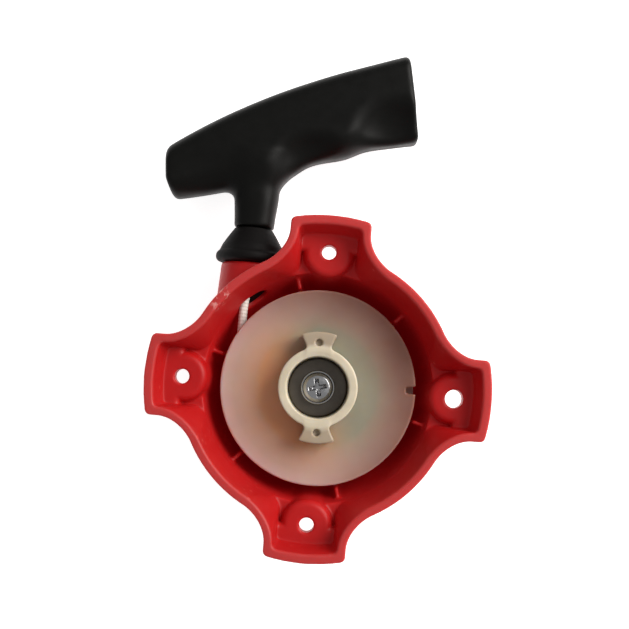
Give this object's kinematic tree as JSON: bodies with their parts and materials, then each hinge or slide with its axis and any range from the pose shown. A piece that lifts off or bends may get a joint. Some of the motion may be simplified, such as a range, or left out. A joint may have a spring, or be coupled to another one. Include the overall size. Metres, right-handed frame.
{
  "type": "recoil starter",
  "caption": "Recoil starter for a small engine: a red bowl-shaped housing with four screw lugs, a translucent rope reel, and a black T-handle on a cord.",
  "frame": {"origin": "on the reel's axis, in the flat front face that the starter lies on", "axes": "+Z from the front face towards the engine, out of the open bowl; +Y the way the rope is pulled"},
  "size_m": [0.1168, 0.1759, 0.035],
  "materials": {
    "red_plastic": "moulded, satin, lightly scuffed",
    "nylon": "natural nylon, translucent, satin",
    "cream_plastic": "moulded, satin",
    "black_plastic": "moulded, satin",
    "black_rubber": "matt",
    "steel": "zinc plated",
    "zinc_steel": "pressed zinc-plated sheet",
    "dark_steel": "oiled",
    "spring_steel": "blued strip, greased",
    "brass": "turned",
    "fibre": "vulcanised fibre",
    "rope": "braided nylon cord"
  },
  "bodies": {
    "case": {"housing": "red_plastic", "post_insert": "brass", "axle_sleeve": "steel", "spring_case": "zinc_steel", "spring_cover": "zinc_steel", "recoil_spring": "spring_steel", "fibre_washer": "fibre", "retaining_washer": "dark_steel", "lock_washer": "steel", "centre_screw": "steel", "rope_eyelet": "black_plastic", "rope_run": "rope"},
    "reel": {"reel": "nylon", "drive_hub": "cream_plastic", "rope_coil": "rope", "reel_knot": "rope"},
    "rope_end": {"rope_tail": "rope", "handle_knot": "rope", "knot_washer": "steel"},
    "handle": {"handle_grip": "black_plastic", "handle_bell": "black_rubber", "knot_cover": "black_plastic"}
  },
  "joints": [
    {"name": "reel_turn", "type": "hinge", "parent": "case", "child": "reel", "pos_m": [0, 0, 0], "axis": [0, 0, -1], "range_deg": [0, 1800], "stiffness_Nm_per_rad": 0.005, "springref_deg": -859.44, "deforming": ["recoil_spring"]},
    {"name": "handle_pull", "type": "slide", "parent": "case", "child": "rope_end", "axis": [0, 1, 0], "range_m": [0, 0.75], "deforming": ["rope_run"]},
    {"name": "handle_swivel", "type": "hinge", "parent": "rope_end", "child": "handle", "pos_m": [-0.027, 0, 0.01735], "axis": [0, 1, 0], "range_deg": [-180, 180]}
  ],
  "couplings": [
    {"joint": "handle_pull", "follows": "reel_turn", "m_per_rad": 0.02387}
  ]
}
